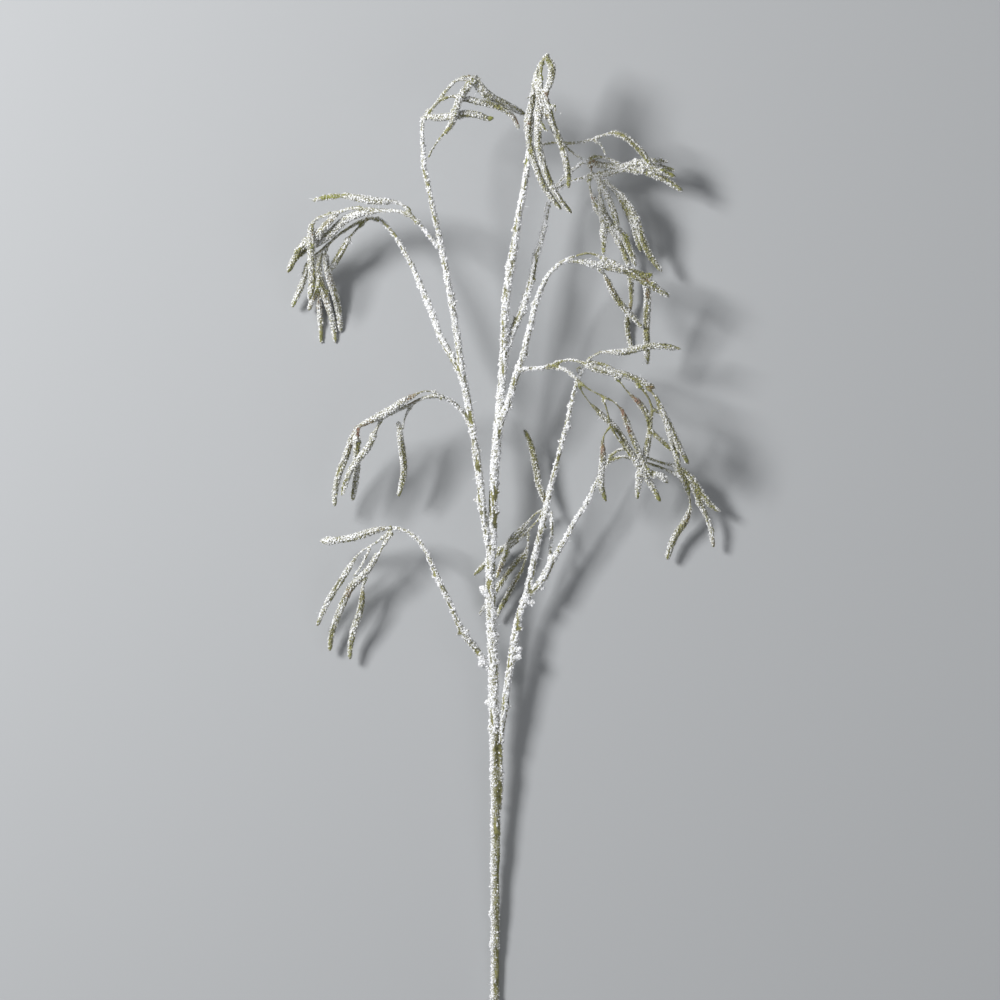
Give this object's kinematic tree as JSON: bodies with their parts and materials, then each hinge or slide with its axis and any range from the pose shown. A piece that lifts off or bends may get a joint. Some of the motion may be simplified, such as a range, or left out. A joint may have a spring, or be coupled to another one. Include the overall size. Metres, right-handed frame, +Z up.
{
  "type": "snow-flocked alder branch",
  "caption": "Leafless alder branch whose side limbs arch over into drooping bunches of long catkins, coated all over in white flock, cut below its limbs and lying on its back.",
  "frame": {"origin": "middle of the box, on the surface the branch lies on", "axes": "+Y up the branch from the cut end to the apex, +X to the right of the stem as seen from above, +Z up, away from the surface"},
  "size_m": [0.436, 0.9718, 0.1109],
  "materials": {
    "flocked_bark": "olive-green bark under a patchy, rough coat of cool white flock, matte",
    "flocked_catkin": "grey-olive scaly catkins with reddish-brown patches, half covered in white flock, matte"
  },
  "bodies": {
    "root": {"main_stem": "flocked_bark", "limb_left_high": "flocked_bark", "limb_left_low": "flocked_bark", "limb_right_high": "flocked_bark", "limb_right_middle": "flocked_bark", "limb_right_low": "flocked_bark", "catkins_apex": "flocked_catkin", "catkins_crown_left": "flocked_catkin", "catkins_left_high": "flocked_catkin", "catkins_left_hanging": "flocked_catkin", "catkins_left_middle": "flocked_catkin", "catkins_left_low": "flocked_catkin", "twig_crown_right": "flocked_catkin", "catkins_right_high": "flocked_catkin", "catkins_right_upper_middle": "flocked_catkin", "catkins_right_middle": "flocked_catkin", "catkins_right_fork": "flocked_catkin", "catkins_right_low": "flocked_catkin", "catkins_back": "flocked_catkin"}
  },
  "joints": []
}
